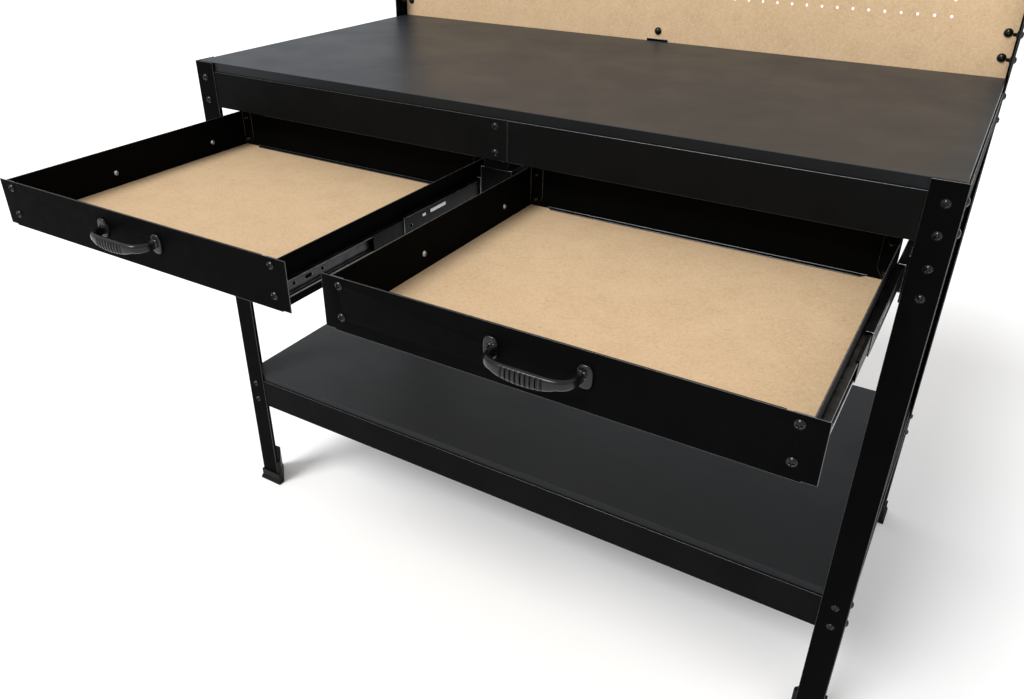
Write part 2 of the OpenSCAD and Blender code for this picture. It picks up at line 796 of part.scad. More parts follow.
// Pan screws from inside the drawer into the inner members
module slide_screws(drawer) {
    head_h = 2.4;
    color(zinc) place() in_drawer(drawer) for (s = [-1, 1]) on_side(s) for (y = pan_y)
        translate([box_half - drawer_t, y, slide_z]) {
            rotate([0, -90, 0]) dome(pan_head_d, head_h);
            rotate([0, 90, 0]) translate([0, 0, -eps])
                cylinder(h = drawer_t + slide_t + 1.5, d = pan_d);
        }
}

leg(-1, false);  // leg_front_left
leg(1, false);  // leg_front_right
leg(-1, true);  // leg_rear_left
leg(1, true);  // leg_rear_right
foot(-1, false);  // foot_front_left
foot(1, false);  // foot_front_right
foot(-1, true);  // foot_rear_left
foot(1, true);  // foot_rear_right
apron_front_left();
apron_front_right();
apron_rear();
beam_side(-1, apron_z0);  // side_beam_left
beam_side(1, apron_z0);  // side_beam_right
shelf_beam_x(false);  // shelf_beam_front
shelf_beam_x(true);  // shelf_beam_rear
beam_side(-1, shelf_z0);  // shelf_beam_left
beam_side(1, shelf_z0);  // shelf_beam_right
worktop();
shelf_board();
upright(-1);  // upright_left
upright(1);  // upright_right
pegboard();
pegboard_top_rail();
pegboard_clip();
centre_divider();
slide_rail(-1);  // slide_rail_left
slide_rail(1);  // slide_rail_right
frame_bolts();
frame_nuts();
pegboard_bolts();
slide_fixing_screws();
slide_outer(-1, -1);  // left_slide_outer_l
slide_outer(-1, 1);  // left_slide_outer_r
slide_outer(1, -1);  // right_slide_outer_l
slide_outer(1, 1);  // right_slide_outer_r
slide_middle(-1, -1);  // left_slide_middle_l
slide_middle(-1, 1);  // left_slide_middle_r
slide_middle(1, -1);  // right_slide_middle_l
slide_middle(1, 1);  // right_slide_middle_r
slide_inner(-1, -1);  // left_slide_inner_l
slide_inner(-1, 1);  // left_slide_inner_r
slide_inner(1, -1);  // right_slide_inner_l
slide_inner(1, 1);  // right_slide_inner_r
drawer_front(-1);  // left_drawer_front
drawer_side(-1, -1);  // left_drawer_side_l
drawer_side(-1, 1);  // left_drawer_side_r
drawer_back(-1);  // left_drawer_back
drawer_floor(-1);  // left_drawer_floor
drawer_handle(-1);  // left_drawer_handle
drawer_screws(-1);  // left_drawer_screws
slide_screws(-1);  // left_slide_screws
drawer_front(1);  // right_drawer_front
drawer_side(1, -1);  // right_drawer_side_l
drawer_side(1, 1);  // right_drawer_side_r
drawer_back(1);  // right_drawer_back
drawer_floor(1);  // right_drawer_floor
drawer_handle(1);  // right_drawer_handle
drawer_screws(1);  // right_drawer_screws
slide_screws(1);  // right_slide_screws
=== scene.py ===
"""Workbench with two drawers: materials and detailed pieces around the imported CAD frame."""
import math

import bmesh
import bpy
from mathutils import Matrix, Vector


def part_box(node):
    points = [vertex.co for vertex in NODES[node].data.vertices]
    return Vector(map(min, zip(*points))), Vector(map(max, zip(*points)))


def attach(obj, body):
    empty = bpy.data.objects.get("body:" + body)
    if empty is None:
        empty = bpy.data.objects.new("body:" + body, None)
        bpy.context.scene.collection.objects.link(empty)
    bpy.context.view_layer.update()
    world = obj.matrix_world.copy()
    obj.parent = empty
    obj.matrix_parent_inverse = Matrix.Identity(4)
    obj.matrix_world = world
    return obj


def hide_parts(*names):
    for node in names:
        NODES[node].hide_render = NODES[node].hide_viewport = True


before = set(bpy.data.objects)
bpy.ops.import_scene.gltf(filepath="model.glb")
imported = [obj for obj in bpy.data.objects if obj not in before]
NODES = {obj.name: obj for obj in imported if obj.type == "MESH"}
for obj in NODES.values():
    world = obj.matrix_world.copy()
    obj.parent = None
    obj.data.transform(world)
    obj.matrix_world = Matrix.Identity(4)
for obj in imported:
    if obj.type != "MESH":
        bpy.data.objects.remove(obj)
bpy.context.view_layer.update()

MM = 0.001
SIDES = ("left", "right")


# ---------------------------------------------------------------- materials

# Sockets of a Mix node that mixes colours
MIX_FACTOR = 0
MIX_A = 6
MIX_B = 7
MIX_RESULT = 2

# Colours are linear RGB
# Painted highlight on the coat's up-facing edges, mottled
PAINTED_EDGE_HIGHLIGHT_DARK = (0.03, 0.03, 0.031)
PAINTED_EDGE_HIGHLIGHT_LIGHT = (0.055, 0.055, 0.056)
EDGE_BLACK = (0.007, 0.007, 0.0072)
BAND_BLACK = (0.006, 0.006, 0.0062)
COOL_SHEEN = (0.76, 0.89, 1.0)
ENAMEL = ((0.003, 0.003, 0.0032), (0.0055, 0.0055, 0.0058))
BLACK_OXIDE = ((0.003, 0.003, 0.0032), (0.006, 0.006, 0.0063))
BLACK_PLASTIC = ((0.004, 0.004, 0.0043), (0.0065, 0.0065, 0.0068))
WORKTOP_FACE = ((0.0125, 0.0175, 0.023), (0.017, 0.022, 0.0285))
SHELF_FACE = ((0.0145, 0.015, 0.0155), (0.019, 0.0195, 0.020))
BRIGHT_ZINC = ((0.50, 0.51, 0.53), (0.72, 0.73, 0.75))
GREY_STEEL = ((0.045, 0.046, 0.048), (0.10, 0.102, 0.106))
# Painted shade: a darker copy of the slide steel, for the slide members and ball cages that sit in shade
DARK_STEEL = ((0.008, 0.008, 0.0085), (0.02, 0.02, 0.021))
# The slides' rolled lips and rounded edges are the same steel as the members; their brighter colour is a
# painted highlight
ROLLED_STEEL = ((0.28, 0.29, 0.30), (0.46, 0.47, 0.49))
TAN_DEEP = (0.50, 0.345, 0.198)
TAN_WARM = (0.585, 0.415, 0.25)
TAN_FIBRE = (0.655, 0.475, 0.296)
TAN_SPECK = (0.31, 0.185, 0.09)
TAN_BLOTCH = (0.45, 0.29, 0.155)
TAN_PALE = (0.80, 0.65, 0.46)
TAN_CUT = (0.80, 0.66, 0.47)


class Material:
    """A node material built up by short calls; textures use the object's own coordinates, in metres."""

    def __init__(self, name, rough, spec=0.5, metallic=0.0):
        self.data = bpy.data.materials.new(name)
        self.data.use_nodes = True
        self.tree = self.data.node_tree
        self.shader = self.tree.nodes["Principled BSDF"]
        self.shader.inputs["Roughness"].default_value = rough
        self.shader.inputs["Metallic"].default_value = metallic
        self.shader.inputs["Specular IOR Level"].default_value = spec
        self.coordinates = self.node("ShaderNodeTexCoord").outputs["Object"]

    def node(self, kind, **settings):
        new = self.tree.nodes.new(kind)
        for key, value in settings.items():
            setattr(new, key, value)
        return new

    def put(self, value, socket):
        """Links an output to an input, or sets the input to a colour or a number."""
        if hasattr(value, "is_output"):
            self.tree.links.new(value, socket)
        elif isinstance(value, tuple):
            socket.default_value = (*value, 1)
        else:
            socket.default_value = value

    def stretched(self, scale):
        """The coordinates, scaled by a factor for each axis."""
        mapping = self.node("ShaderNodeMapping")
        mapping.inputs["Scale"].default_value = scale
        self.put(self.coordinates, mapping.inputs["Vector"])
        return mapping.outputs["Vector"]

    def noise(self, scale, detail=4, rough=0.55, vector=None, distort=0.0):
        """Noise with scale features to the metre."""
        noise = self.node("ShaderNodeTexNoise")
        noise.inputs["Scale"].default_value = scale
        noise.inputs["Detail"].default_value = detail
        noise.inputs["Roughness"].default_value = rough
        noise.inputs["Distortion"].default_value = distort
        self.put(vector or self.coordinates, noise.inputs["Vector"])
        return noise.outputs["Fac"]

    def ramp(self, value, low, high, start=0.3, end=0.7):
        """Colour that goes from low to high as value goes from start to end."""
        ramp = self.node("ShaderNodeValToRGB")
        stops = ramp.color_ramp.elements
        for stop, place, colour in zip(stops, (start, end), (low, high)):
            stop.position = place
            stop.color = (*colour, 1)
        self.put(value, ramp.inputs["Fac"])
        return ramp.outputs["Color"]

    def span(self, value, low, high, start=0.3, end=0.7):
        """Number that goes from low to high as value goes from start to end."""
        remap = self.node("ShaderNodeMapRange")
        remap.inputs["From Min"].default_value = start
        remap.inputs["From Max"].default_value = end
        remap.inputs["To Min"].default_value = low
        remap.inputs["To Max"].default_value = high
        self.put(value, remap.inputs["Value"])
        return remap.outputs["Result"]

    def mix(self, factor, a, b):
        """Colour that is a where factor is 0, and b where it is 1."""
        mix = self.node("ShaderNodeMix", data_type="RGBA")
        self.put(factor, mix.inputs[MIX_FACTOR])
        self.put(a, mix.inputs[MIX_A])
        self.put(b, mix.inputs[MIX_B])
        return mix.outputs[MIX_RESULT]

    def calculate(self, operation, a, b=0.0):
        maths = self.node("ShaderNodeMath", operation=operation)
        self.put(a, maths.inputs[0])
        self.put(b, maths.inputs[1])
        return maths.outputs["Value"]

    def normal(self, axis):
        """How far the surface faces along X, Y or Z, from -1 to 1."""
        split = self.node("ShaderNodeSeparateXYZ")
        self.put(self.node("ShaderNodeNewGeometry").outputs["Normal"], split.inputs["Vector"])
        return split.outputs[axis]

    def facing(self, axis):
        """How far the surface faces along an axis, whichever way, from 0 to 1."""
        return self.calculate("ABSOLUTE", self.normal(axis))

    def colour(self, value):
        self.put(value, self.shader.inputs["Base Color"])

    def roughness(self, value):
        self.put(value, self.shader.inputs["Roughness"])

    def bump(self, *heights):
        """Each height is (texture, strength, distance in metres); they add up."""
        normal = None
        for texture, strength, distance in heights:
            bump = self.node("ShaderNodeBump")
            bump.inputs["Strength"].default_value = strength
            bump.inputs["Distance"].default_value = distance
            self.put(texture, bump.inputs["Height"])
            if normal:
                self.put(normal, bump.inputs["Normal"])
            normal = bump.outputs["Normal"]
        self.put(normal, self.shader.inputs["Normal"])


def powder_coat(name, shade):
    """Deep satin black powder coat: a fine orange peel, a little dust in the gloss."""
    m = Material(name, rough=0.5, spec=0.012)
    m.colour(m.ramp(m.noise(14, detail=5), (shade,) * 3, (shade * 1.4,) * 3))
    m.roughness(m.span(m.noise(60, detail=6), 0.44, 0.58))
    m.bump((m.noise(1500, detail=2), 0.12, 0.3 * MM), (m.noise(260, detail=2), 0.05, 1 * MM))
    return m.data


def coat_edge():
    """The same coat, thin and glossy over a fold or a cut edge, with a painted highlight: a mottled lighter
    grey where the edge faces up.
    """
    m = Material("coat_edge", rough=0.26, spec=1.0)
    # Painted highlight: where the edge faces up it takes the lighter greys
    painted_highlight_up = m.span(m.normal("Z"), 0.0, 1.0, start=0.1, end=0.8)
    m.colour(m.mix(painted_highlight_up, EDGE_BLACK, m.ramp(m.noise(90), PAINTED_EDGE_HIGHLIGHT_DARK, PAINTED_EDGE_HIGHLIGHT_LIGHT)))
    m.roughness(m.span(m.noise(160, detail=5), 0.20, 0.34))
    m.bump((m.noise(1500, detail=2), 0.08, 0.2 * MM))
    return m.data


def laminate(name, dark, light):
    """Dark paper-faced board: soft cool sheen with a fine pore; its edge bands are plain black."""
    m = Material(name, rough=0.40, spec=0.22)
    m.put(COOL_SHEEN, m.shader.inputs["Specular Tint"])
    pore = m.noise(420, detail=6, rough=0.65)
    streak = m.noise(30, detail=5, rough=0.6, vector=m.stretched((0.35, 3, 1)))
    lighter = tuple(1.2 * c for c in light)
    face = m.mix(m.span(pore, 0.0, 0.5), m.ramp(streak, dark, light), lighter)
    flat = m.span(m.facing("Z"), 0.0, 1.0, start=0.25, end=0.6)
    m.colour(m.mix(flat, BAND_BLACK, face))
    m.roughness(m.span(m.noise(9, detail=6, rough=0.6), 0.36, 0.45))
    m.bump((pore, 0.06, 0.2 * MM), (m.noise(2600, detail=2), 0.10, 0.1 * MM))
    return m.data


def fibreboard(flat, shade):
    """Hardboard of pressed mottled fibres; flat is the axis across its faces, and its cut edges are paler."""
    m = Material(f"fibreboard_{flat}", rough=0.72, spec=0.22)
    mottle = m.noise(22, detail=6, rough=0.62)
    fibre = m.noise(240, detail=8, rough=0.72, distort=0.6)
    speck = m.noise(520, detail=3, rough=0.6)
    blotch = m.noise(75, detail=7, rough=0.7, distort=1.2)
    pale = m.noise(700, rough=0.6, vector=m.stretched((1, 1.6, 1.3)))
    cut = m.calculate("SUBTRACT", 1.0, m.facing(flat))

    def shaded(colour):
        return tuple(min(1.0, shade * c) for c in colour)

    face = m.ramp(mottle, shaded(TAN_DEEP), shaded(TAN_WARM), start=0.28, end=0.72)
    layers = (
        (m.span(fibre, 0.0, 0.75, start=0.38, end=0.66), TAN_FIBRE),
        (m.span(speck, 0.0, 0.6, start=0.59, end=0.70), TAN_SPECK),
        (m.span(blotch, 0.0, 0.55, start=0.56, end=0.72), TAN_BLOTCH),
        (m.span(pale, 0.0, 0.45, start=0.60, end=0.74), TAN_PALE),
        (m.calculate("MULTIPLY", cut, 0.7), TAN_CUT),
    )
    for amount, colour in layers:
        face = m.mix(amount, face, shaded(colour))
    m.colour(face)
    m.roughness(m.span(fibre, 0.62, 0.80))
    m.bump((fibre, 0.22, 0.4 * MM), (speck, 0.15, 0.2 * MM))
    return m.data


def cast_handle():
    """Cast metal under a smooth black enamel."""
    m = Material("cast_handle", rough=0.24, spec=0.36)
    m.colour(m.ramp(m.noise(120), *ENAMEL))
    m.roughness(m.span(m.noise(200, detail=5), 0.18, 0.30))
    m.bump((m.noise(420), 0.10, 0.4 * MM), (m.noise(1800, detail=2), 0.06, 0.2 * MM))
    return m.data


def black_bolt():
    """Blackened steel of bolts, screws and nuts, fairly glossy."""
    m = Material("black_bolt", rough=0.16, spec=0.32)
    m.colour(m.ramp(m.noise(300), *BLACK_OXIDE))
    m.roughness(m.span(m.noise(500), 0.12, 0.22))
    m.bump((m.noise(1500, detail=3), 0.10, 0.2 * MM))
    return m.data


def moulded_plastic():
    """Matt black plastic of the feet, with a fine mould grain."""
    m = Material("moulded_plastic", rough=0.5, spec=0.12)
    m.colour(m.ramp(m.noise(40), *BLACK_PLASTIC))
    m.roughness(m.span(m.noise(180, detail=5), 0.42, 0.58))
    m.bump((m.noise(2200, detail=3), 0.2, 0.2 * MM))
    return m.data


def plated(name, shades, rough):
    """Plated steel: a faint drawing grain along Y and cloudy reflections."""
    m = Material(name, rough=rough, metallic=1.0)
    grain = m.noise(900, detail=3, rough=0.5, vector=m.stretched((1, 0.02, 1)))
    cloud = m.noise(70, detail=5)
    m.colour(m.mix(m.span(cloud, 0.0, 1.0), *shades))
    cloudy = m.span(cloud, rough - 0.05, rough + 0.08)
    m.roughness(m.calculate("ADD", cloudy, m.span(grain, -0.03, 0.05)))
    m.bump((grain, 0.08, 0.2 * MM), (m.noise(1400, detail=2), 0.05, 0.1 * MM))
    return m.data


FINISH = {
    "steel": powder_coat("powder_coat", shade=0.0018),
    # The beams take a lighter copy of the same black coat: painted light, for the light their faces catch.
    "beam": powder_coat("powder_coat_beams", shade=0.005),
    # the coat on rounded edges, with a painted highlight on top
    "edge": coat_edge(),
    "board": laminate("worktop_face", *WORKTOP_FACE),
    "shelf": laminate("shelf_face", *SHELF_FACE),
    # The upright pegboard takes lighter colours than the drawer floors' same hardboard: painted light, for
    # the light it misses.
    "fibre_y": fibreboard("Y", shade=1.2),
    "fibre_z": fibreboard("Z", shade=1.03),
    "handle": cast_handle(),
    "bolt": black_bolt(),
    "plastic": moulded_plastic(),
    "zinc": plated("zinc", BRIGHT_ZINC, rough=0.28),
    "slide": plated("slide_steel", GREY_STEEL, rough=0.34),
    # painted shade: the same slide steel, darker
    "slide_dark": plated("slide_dark", DARK_STEEL, rough=0.4),
    # steel of the rolled lips and slide edges, made brighter: a painted highlight
    "rail": plated("rail_steel", ROLLED_STEEL, rough=0.26),
}


# ---------------------------------------------------------------- mesh tools

ONE_POINT = 1e-6               # vertices nearer than this, in metres, are one


def linked(name, data):
    """A new object in the scene."""
    obj = bpy.data.objects.new(name, data)
    bpy.context.scene.collection.objects.link(obj)
    return obj


def turn(count):
    """Angles of count even steps round a circle."""
    return [2 * math.pi * k / count for k in range(count)]


def polar(radius, angle, z):
    return (radius * math.cos(angle), radius * math.sin(angle), z)


def neighbours(count):
    """Each index round a ring with the one after it."""
    return [(k, (k + 1) % count) for k in range(count)]


def band(a, b):
    """Quads between two rings of vertex indices."""
    return [[a[k], a[j], b[j], b[k]] for k, j in neighbours(len(a))]


def skin(rings, closed=False):
    """Vertices of a row of rings, and the quads between them; closed joins the last ring to the first."""
    count = len(rings[0])
    index = [list(range(i * count, (i + 1) * count)) for i in range(len(rings))]
    after = index[1:] + index[:1] if closed else index[1:]
    faces = []
    for a, b in zip(index, after):
        faces += band(a, b)
    return [v for ring in rings for v in ring], faces


class Parts:
    """Collects simple closed shapes into one vertex and face list."""

    def __init__(self):
        self.verts = []
        self.faces = []

    def add(self, verts, faces, at=Matrix()):
        first = len(self.verts)
        self.verts += [at @ Vector(v) for v in verts]
        self.faces += [[i + first for i in face] for face in faces]

    def lathe(self, profile, at, segments):
        """Turns (radius, z) pairs, from one end of the axis to the other; a radius of 0 is a point."""
        verts, rings, faces = [], [], []
        for radius, z in profile:
            first = len(verts)
            if radius < ONE_POINT:
                verts.append((0, 0, z))
            else:
                verts += [polar(radius, angle, z) for angle in turn(segments)]
            rings.append(list(range(first, len(verts))))
        for a, b in zip(rings, rings[1:]):
            for k, j in neighbours(segments):
                quad = (a[k % len(a)], a[j % len(a)], b[j % len(b)], b[k % len(b)])
                corners = list(dict.fromkeys(quad))
                if len(corners) > 2:
                    faces.append(corners)
        self.add(verts, faces, at)

    def mesh(self, name):
        """All shapes as one mesh, welded, its normals outward."""
        mesh = bpy.data.meshes.new(name)
        mesh.from_pydata([tuple(v) for v in self.verts], [], self.faces)
        bm = bmesh.new()
        bm.from_mesh(mesh)
        bmesh.ops.remove_doubles(bm, verts=bm.verts, dist=ONE_POINT)
        bmesh.ops.recalc_face_normals(bm, faces=bm.faces)
        bm.to_mesh(mesh)
        bm.free()
        return mesh


def piece(name, mesh, material, body, sharp=32):
    """A visible piece that moves with a body; edges of more than sharp degrees stay crisp."""
    obj = linked(name, mesh)
    mesh.materials.clear()
    mesh.materials.append(material)
    mesh.shade_smooth()
    mesh.set_sharp_from_angle(angle=math.radians(sharp))
    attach(obj, body)
    return obj


# ---------------------------------------------------------------- bolts and nuts

DOME_STEPS = 8
DOME_SHARE = 0.97              # of a head's radius; the rest is its rolled rim
RIM_TOP = 0.35 * MM            # heights of the rim above the head's seat
RIM_FOOT = 0.12 * MM
RIM_ROUND = 0.15 * MM
FILLET = 0.3 * MM
THREAD_DEPTH = 0.38            # of the pitch
TIP = 0.9 * MM
TIP_SLOPE = 0.85 * MM
TIP_NARROWING = 0.8 * MM
PLAIN_SEGMENTS = 28
RIM_SHARE = 0.49               # of a bolt's width: points further from its axis are on the rim
CROSS_WIDTH = 0.24             # of an arm's length, to each side
CROSS_TAPER = 0.72             # of the cross's size, at its floor
CROSS_DEPTH = 0.55             # of the head's height
CROSS_MARGIN = 1.12            # of an arm's length, the first ring round the cross
DOME_RINGS = (0.0, 0.3, 0.6, 0.85, 1.0)
NUT_SEGMENTS = 36
NUT_BORE = 3 * MM
NUT_FACE = 0.94                # of the half width across flats
NUT_CHAMFER = 0.6 * MM
CORNER_CUT = 0.5               # how much lower a corner's chamfer ends, for each millimetre it stands out


def loose_points(mesh):
    """The vertex positions of each loose solid of a mesh."""
    bm = bmesh.new()
    bm.from_mesh(mesh)
    bmesh.ops.remove_doubles(bm, verts=bm.verts, dist=2 * ONE_POINT)
    seen, groups = set(), []
    for first in bm.verts:
        if first.index in seen:
            continue
        seen.add(first.index)
        stack, points = [first], []
        while stack:
            vert = stack.pop()
            points.append(vert.co.copy())
            others = [edge.other_vert(vert) for edge in vert.link_edges]
            fresh = [other for other in others if other.index not in seen]
            seen.update(other.index for other in fresh)
            stack += fresh
        groups.append(points)
    bm.free()
    return groups


def islands(node):
    """Loose solids of a CAD node as (middle, size, axis, sign); a bolt's axis points to its head."""
    found = []
    for points in loose_points(NODES[node].data):
        low = Vector([min(p[i] for p in points) for i in range(3)])
        high = Vector([max(p[i] for p in points) for i in range(3)])
        size = high - low
        middle = (low + high) / 2
        # its section across the axis is as wide as it is high
        uneven = [abs(size[(i + 1) % 3] - size[(i + 2) % 3]) for i in range(3)]
        axis = uneven.index(min(uneven))
        across = [i for i in range(3) if i != axis]
        inside = RIM_SHARE * max(size[i] for i in across)
        rim = [p for p in points if max(abs(p[i] - middle[i]) for i in across) > inside]
        sign = 1 if sum(p[axis] for p in rim) / len(rim) > middle[axis] else -1
        found.append((middle, size, axis, sign))
    return found


def aim(middle, size, axis, sign):
    """Matrix that puts local +Z along the head's direction with its origin at the head's top."""
    direction = Vector((0, 0, 0))
    direction[axis] = sign
    turned = direction.to_track_quat("Z", "Y").to_matrix().to_4x4()
    return Matrix.Translation(middle + direction * size[axis] / 2) @ turned


def dome_z(radius, height, x, y=0.0):
    """Height of a domed head at a point beside its axis, 0 at its crown."""
    sphere = (radius * radius + height * height) / (2 * height)
    return -(sphere - math.sqrt(max(sphere * sphere - x * x - y * y, 0)))


def dome_outline(radius, height):
    """Half outline of a domed head from its crown to its rim."""
    steps = [radius * DOME_SHARE * k / DOME_STEPS for k in range(DOME_STEPS + 1)]
    return [(r, dome_z(radius, height, r)) for r in steps]


def shank_outline(radius, height, shank, length, pitch):
    """Half outline from a head's rim to the end of its threaded shank, z = 0 at the head's crown."""
    seat = -height
    outline = [(radius, seat + RIM_TOP), (radius, seat + RIM_FOOT), (radius - RIM_ROUND, seat)]
    outline += [(shank + FILLET, seat), (shank, seat - FILLET)]
    z = seat - FILLET - FILLET
    end = seat - length + TIP
    while z - pitch > end:
        outline += [(shank, z), (shank - THREAD_DEPTH * pitch, z - pitch / 2)]
        z -= pitch
    return outline + [(shank, end), (shank - TIP_NARROWING, end - TIP_SLOPE), (0, end - TIP)]


def cross_corners(arm, width):
    """Twelve corners of a cross, counted round its middle."""
    corners = []
    for angle in turn(4):
        c, s = math.cos(angle), math.sin(angle)
        for x, y in ((arm, -width), (arm, width), (width, width)):
            corners.append((x * c - y * s, x * s + y * c))
    return corners


def cross_head(parts, at, radius, height, arm, shank):
    """Bolt with a cross recess cut in its dome; shank is the outline from the head's rim on."""
    corners = cross_corners(arm, arm * CROSS_WIDTH)
    count = len(corners)
    spokes = [math.atan2(y, x) for x, y in corners]

    def on_dome(x, y):
        return (x, y, dome_z(radius, height, x, y))

    inside = arm * CROSS_MARGIN
    rings = []
    for share in DOME_RINGS:
        r = inside + (radius * DOME_SHARE - inside) * share
        rings.append([on_dome(r * math.cos(angle), r * math.sin(angle)) for angle in spokes])
    *sides, (_, tip) = shank
    rings += [[polar(r, angle, z) for angle in spokes] for r, z in sides]

    mouth = list(range(count))
    bottom = list(range(count, 2 * count))
    verts = [on_dome(x, y) for x, y in corners]
    verts += [(x * CROSS_TAPER, y * CROSS_TAPER, dome_z(radius, height, x, y) - height * CROSS_DEPTH)
              for x, y in corners]
    faces = [[mouth[k], bottom[k], bottom[j], mouth[j]] for k, j in neighbours(count)]
    faces.append(bottom[::-1])
    last = mouth
    for ring in rings:
        following = list(range(len(verts), len(verts) + count))
        verts += ring
        faces += band(last, following)
        last = following
    faces += [[last[k], last[j], len(verts)] for k, j in neighbours(count)]
    verts.append((0, 0, tip))
    parts.add(verts, faces, at)


def bolts(name, node, finish, body, shank, head, arm=0.0, pitch=0.8 * MM):
    """Stands for a node of bolts: shank is its radius, head its height, arm half the cross recess."""
    parts = Parts()
    for middle, size, axis, sign in islands(node):
        at = aim(middle, size, axis, sign)
        radius = size[(axis + 1) % 3] / 2
        outline = shank_outline(radius, head, shank, size[axis] - head, pitch)
        if arm:
            cross_head(parts, at, radius, head, arm, outline)
        else:
            parts.lathe(dome_outline(radius, head) + outline, at, PLAIN_SEGMENTS)
    obj = piece(name, parts.mesh(name), FINISH[finish], body)
    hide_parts(node)


def hexagon_radius(flat, angle):
    """Distance from a hexagon's middle to its outline at an angle; flat is that distance at its flats."""
    beside = (angle + math.pi / 6) % (math.pi / 3) - math.pi / 6
    return flat / math.cos(beside)


def hex_nut(parts, at, flat, height):
    """Hexagon nut with chamfered corners, z = 0 at its outer face."""
    angles = turn(NUT_SEGMENTS)

    def circle(radius, z):
        return [polar(radius, angle, z) for angle in angles]

    def hexagon(z, way):
        radii = [hexagon_radius(flat, angle) for angle in angles]
        return [polar(r, angle, z + way * max(0.0, r - flat) * CORNER_CUT) for r, angle in zip(radii, angles)]

    face = flat * NUT_FACE
    rings = [circle(NUT_BORE, 0.0), circle(face, 0.0), hexagon(-NUT_CHAMFER, -1),
             hexagon(NUT_CHAMFER - height, 1), circle(face, -height), circle(NUT_BORE, -height)]
    parts.add(*skin(rings, closed=True), at)


def nuts(name, node, finish, body):
    """Stands for a node of nuts."""
    parts = Parts()
    for middle, size, axis, _ in islands(node):
        at = aim(middle, size, axis, 1)
        flat = min(size[(axis + 1) % 3], size[(axis + 2) % 3]) / 2
        hex_nut(parts, at, flat, size[axis])
    obj = piece(name, parts.mesh(name), FINISH[finish], body)
    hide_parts(node)


def fasteners():
    bolts("bolts_frame", "frame_bolts", "bolt", "frame",
          shank=2.95 * MM, head=3.5 * MM, arm=3.1 * MM)
    bolts("bolts_pegboard", "pegboard_bolts", "bolt", "frame",
          shank=2.95 * MM, head=5.0 * MM)
    nuts("nuts_frame", "frame_nuts", "bolt", "frame")
    for side in SIDES:
        bolts(f"screws_{side}_drawer", f"{side}_drawer_screws", "bolt", f"{side}_drawer",
              shank=2.45 * MM, head=3.0 * MM, arm=2.9 * MM)
        bolts(f"screws_{side}_slide", f"{side}_slide_screws", "zinc", f"{side}_drawer",
              shank=1.95 * MM, head=2.4 * MM, arm=2.2 * MM, pitch=0.7 * MM)
    bolts("screws_slide_fixing", "slide_fixing_screws", "zinc", "frame",
          shank=1.95 * MM, head=1.0 * MM, arm=1.9 * MM, pitch=0.7 * MM)


# ---------------------------------------------------------------- handles

# These are in millimetres. The bow's centre line runs from an ear to its middle: X along it, -Y out.
BOW_HALF = ((47, 0.5), (47, -7), (46, -14), (42.8, -20.8), (36.5, -25.4), (26, -27.8), (12, -28.3),
            (0, -28.4))
BOW_STATIONS = 260
BOW_RING = 44
BOW_SQUARE = 0.78              # power of the section's outline: 1 is an ellipse, less is squarer
TANGENT_STEP = 0.004
ALONG_BOW = 0.2                # a normal with less Y than this is in a leg of the bow
BOW_HEIGHT = 11.2
BOW_DEPTH = 8.2
BOW_LOWER = 3.2                # than the middle of the handle's height
GRIP_HALF = 34                 # the bow swells over this length, to each side of its middle
GRIP_TALLER = 5.6
GRIP_DEEPER = 0.8
GRIP_LOWER = 2.6
GRIP_SWELL = 0.8
ROOT_LENGTH = 9                # it widens again over this length, into the ears
ROOT_TALLER = 5.0
ROOT_DEEPER = 3.0
ROOT_HIGHER = 1.2
ROOT_FLARE = 1.5
GROOVES = 9
GROOVE_PITCH = 5.3
GROOVE_DEPTH = 2.4
GROOVE_MARGIN = 1.6            # between a groove's end and the grip's edge
GROOVE_FADE = 0.8              # length of a groove's sloping end
GROOVE_LIP = 0.05              # cosine along the grip at which a groove starts, and its rise to full depth
GROOVE_RISE = 0.4
OUTER_SIDE = 0.25              # cosine round the section beyond which the grooves are cut
EAR_HALF_APART = 51
EAR_RING = 48
EAR_HALF_WIDTH = 8.5
EAR_HALF_HEIGHT = 13
EAR_SQUARE = 0.72
EAR_DROP = 2
EAR_ROWS = ((1.0, 0.0), (1.0, -2.0), (0.93, -3.1), (0.80, -3.6), (0.0, -3.9))        # share of size, Y
VOXEL = 0.5 * MM


def unit(value):
    """The value kept between 0 and 1."""
    return max(0.0, min(1.0, value))


def rounded(angle, power, half_width, half_height):
    """Point of a rounded rectangle about the origin."""
    c, s = math.cos(angle), math.sin(angle)
    return (math.copysign(abs(c) ** power, c) * half_width, math.copysign(abs(s) ** power, s) * half_height)


def bow_point(t):
    """Point of a smooth curve through the bow's centre line, t from 0 at one ear to 1 at the other."""
    half = [Vector(point) for point in BOW_HALF]
    path = half + [Vector((-point.x, point.y)) for point in half[-2::-1]]
    t *= len(path) - 1
    i = min(int(t), len(path) - 2)
    u = t - i
    a, b, c, d = path[max(i - 1, 0)], path[i], path[i + 1], path[min(i + 2, len(path) - 1)]
    return 0.5 * ((2 * b) + (c - a) * u + (2 * a - 5 * b + 4 * c - d) * u * u
                  + (3 * b - a - 3 * c + d) * u ** 3)


def bow_outward(t, centre):
    """Direction square to the bow's centre line, away from the drawer front and the handle's middle."""
    tangent = (bow_point(min(t + TANGENT_STEP, 1)) - bow_point(max(t - TANGENT_STEP, 0))).normalized()
    out = Vector((tangent.y, -tangent.x))
    in_leg = abs(out.y) < ALONG_BOW
    if out.y > 0 or (in_leg and out.x * centre.x < 0):
        return -out
    return out


